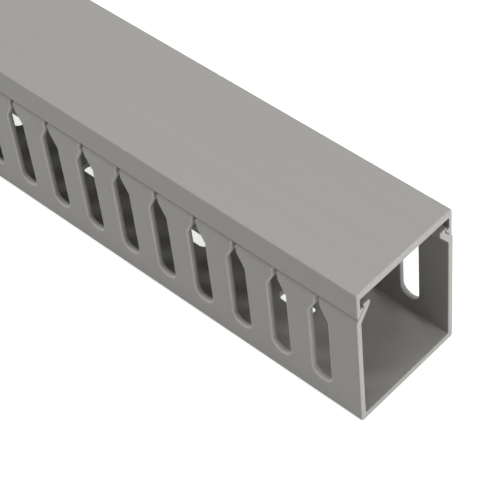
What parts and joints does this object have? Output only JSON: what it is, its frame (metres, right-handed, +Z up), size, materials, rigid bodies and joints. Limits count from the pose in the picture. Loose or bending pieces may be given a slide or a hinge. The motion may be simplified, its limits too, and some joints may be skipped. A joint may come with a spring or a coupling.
{
  "type": "slotted wire duct",
  "caption": "Slotted wire duct stock with a clip-on cover: open-slot side walls with bottle-neck slots, hooked finger heads and a plain flat floor with fixing slots.",
  "frame": {"origin": "centre of the underside of the floor", "axes": "+X along the length of the duct, +Y across it towards a side wall, +Z up towards the cover"},
  "size_m": [0.5, 0.0376, 0.05],
  "materials": {
    "duct_pvc": "matte extruded rigid PVC, warm grey",
    "cover_pvc": "matte extruded rigid PVC, warm grey"
  },
  "bodies": {
    "duct": {"duct_body": "duct_pvc"},
    "cover": {"cover": "cover_pvc"}
  },
  "joints": [
    {"name": "cover_slide", "type": "slide", "parent": "duct", "child": "cover", "axis": [1, 0, 0], "range_m": [-0.5, 0.5]}
  ]
}
